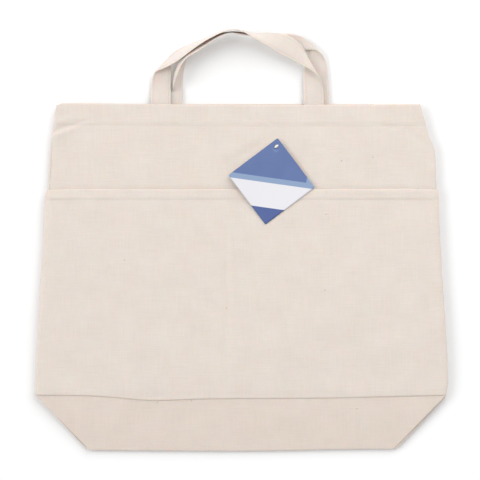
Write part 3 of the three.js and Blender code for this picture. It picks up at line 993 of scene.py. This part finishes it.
def card_rim():
    """Points round the card's edge, from its hole, and the lowest and highest corner of its square."""
    low = np.array([-TAG_HOLE_INSET, TAG_HOLE_INSET - TAG_SIDE])
    high = np.array([TAG_SIDE - TAG_HOLE_INSET, TAG_HOLE_INSET])
    corners = [(low[0], low[1], 180), (high[0], low[1], 270), (high[0], high[1], 0), (low[0], high[1], 90)]
    outline = []
    for cx, cy, first in corners:
        corner = np.array([cx, cy])
        centre = corner + TAG_CORNER * np.sign((low + high) / 2 - corner)
        for angle in np.radians(np.linspace(first, first + 90, 6)):
            outline.append(centre + TAG_CORNER * np.array([math.cos(angle), math.sin(angle)]))
    closed = np.array([*outline, outline[0]])
    gaps = np.linalg.norm(np.diff(closed, axis=0), axis=1)
    travelled = np.concatenate([[0], np.cumsum(gaps)])
    places = np.unique(np.concatenate([travelled[:-1], np.linspace(0, travelled[-1], 120, endpoint=False)]))
    rim = np.stack([np.interp(places, travelled, closed[:, k]) for k in range(2)], axis=1)
    return rim, low, high


def card_faces(count, sides):
    """The card's upper and lower faces, ring by ring, and its walls at the hole and the edge."""
    total = count * sides
    faces = []
    for ring in range(count - 1):
        for k in range(sides):
            a, b = ring * sides + k, ring * sides + (k + 1) % sides
            faces.append([a + sides, b + sides, b, a])
            faces.append([b + total, b + sides + total, a + sides + total, a + total])
    for ring in (0, count - 1):
        for k in range(sides):
            a, b = ring * sides + k, ring * sides + (k + 1) % sides
            quad = [a, b, b + total, a + total]
            faces.append(quad if ring == 0 else quad[::-1])
    return faces


def make_tag():
    """A square printed card hung by its top corner: rings of points from its hole out to its edge."""
    turn = np.array([[math.cos(TAG_TURN), -math.sin(TAG_TURN)], [math.sin(TAG_TURN), math.cos(TAG_TURN)]])
    rim, low, high = card_rim()
    direction = rim / np.linalg.norm(rim, axis=1, keepdims=True)
    rings = (np.linspace(0, 1, 30) ** 0.8)[:, None, None]
    flat = direction[None] * TAG_HOLE * (1 - rings) + rim[None] * rings
    place = flat @ turn.T + np.array([PIN_X, PIN_Y])
    count, sides = flat.shape[:2]
    z = tag_height(place[..., 0], place[..., 1])
    middle = np.concatenate([place, z[..., None]], axis=2).reshape(-1, 3)
    diagonal = (flat - (low + high) / 2) @ np.array([[1, 1], [-1, 1]]).T / math.sqrt(2)
    half = np.array([0, 0, TAG_CARD / 2])
    vertices = np.concatenate([middle + half, middle - half])
    threads = np.concatenate([diagonal.reshape(-1, 2), np.ones((count * sides, 1))], axis=1)
    weave = np.concatenate([threads, threads * [1, 1, 0]])
    piece = finish_mesh("tag_card", vertices, card_faces(count, sides), weave, CARD)
    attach(piece, "tag")
    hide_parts("hang_tag")


def make_pin():
    """The plastic pin through the tag's hole, with a rounded bar across its top."""
    top = tag_height(np.array(PIN_X), np.array(PIN_Y)) + TAG_CARD / 2
    foot = FRONT_Z
    profile = [
        (0.0, foot), (0.8, foot), (0.8, top + 0.2 * MM), (2.3, top + 0.2 * MM), (2.75, top + 0.5 * MM),
        (2.6, top + 0.95 * MM), (1.8, top + 1.35 * MM), (0.9, top + 1.5 * MM), (0.0, top + 1.55 * MM),
    ]
    sides = 28
    vertices = [(PIN_X, PIN_Y, foot)]
    for radius, z in profile[1:-1]:
        long, short = PIN_BAR if radius > 0.85 else (1, 1)
        for k in range(sides):
            angle = 2 * math.pi * k / sides
            u = radius * long * MM * math.cos(angle)
            v = radius * short * MM * math.sin(angle)
            x = PIN_X + u * math.cos(PIN_TURN) - v * math.sin(PIN_TURN)
            y = PIN_Y + u * math.sin(PIN_TURN) + v * math.cos(PIN_TURN)
            vertices.append((x, y, float(z)))
    vertices.append((PIN_X, PIN_Y, float(profile[-1][1])))
    faces = []
    last = len(vertices) - 1
    rings = len(profile) - 2
    for k in range(sides):
        following = (k + 1) % sides
        faces.append([0, 1 + following, 1 + k])
        faces.append([last, 1 + (rings - 1) * sides + k, 1 + (rings - 1) * sides + following])
        for ring in range(rings - 1):
            a, b = 1 + ring * sides + k, 1 + ring * sides + following
            faces.append([a, b, b + sides, a + sides])
    mesh = bpy.data.meshes.new("tag_pin_moulding")
    mesh.from_pydata(vertices, [], faces)
    mesh.shade_smooth()
    piece = link(bpy.data.objects.new("tag_pin_moulding", mesh), NYLON)
    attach(piece, "front")
    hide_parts("tag_pin")


# ---------------------------------------------------------------- table, light and camera


def make_table():
    """The white surface that the bag lies on. It isn't part of the object."""
    mesh = bpy.data.meshes.new("table")
    signs = [(-1, -1), (1, -1), (1, 1), (-1, 1)]
    mesh.from_pydata([(u * TABLE_HALF, v * TABLE_HALF, TABLE_Z) for u, v in signs], [], [(0, 1, 2, 3)])
    table = link(bpy.data.objects.new("table", mesh), table_material())


def softbox(name, place, size, power):
    """A rectangular area light that faces the bag."""
    light = bpy.data.lights.new(name, "AREA")
    light.shape = "RECTANGLE"
    light.size, light.size_y = size
    light.energy = power
    lamp = bpy.data.objects.new(name, light)
    lamp.location = place
    toward = -lamp.location
    lamp.rotation_euler = toward.to_track_quat("-Z", "Y").to_euler()
    bpy.context.scene.collection.objects.link(lamp)


def make_light():
    """An even white surround, a large light beyond the handles and one far off to the left."""
    world = bpy.data.worlds.new("studio")
    world.use_nodes = True
    background = world.node_tree.nodes["Background"]
    background.inputs["Color"].default_value = (1.0, 1.0, 1.0, 1)
    background.inputs["Strength"].default_value = WORLD_LIGHT
    bpy.context.scene.world = world
    softbox("top_softbox", (1.0, 1.85, 2.0), (2.8, 3.2), 54)
    softbox("left_softbox", (-7.0, 0.5, 5.0), (5.4, 5.4), 315)


def make_camera():
    """A long lens that looks straight down, and colours as they are."""
    data = bpy.data.cameras.new("camera")
    data.lens = CAMERA_LENS
    data.sensor_width = CAMERA_SENSOR
    camera = bpy.data.objects.new("camera", data)
    camera.location = CAMERA_PLACE
    bpy.context.scene.collection.objects.link(camera)
    bpy.context.scene.camera = camera
    bpy.context.scene.view_settings.view_transform = "Standard"


make_camera()
make_light()
make_table()
make_front()
make_pocket()
make_pocket_hem()
make_back()
make_turned_edges()
make_base()
make_sides()
make_corners()
make_handle("front", FRONT_HANDLE, 51)
make_handle("back", BACK_HANDLE, 52, BACK_BULGE)
make_stitching()
make_tag()
make_pin()
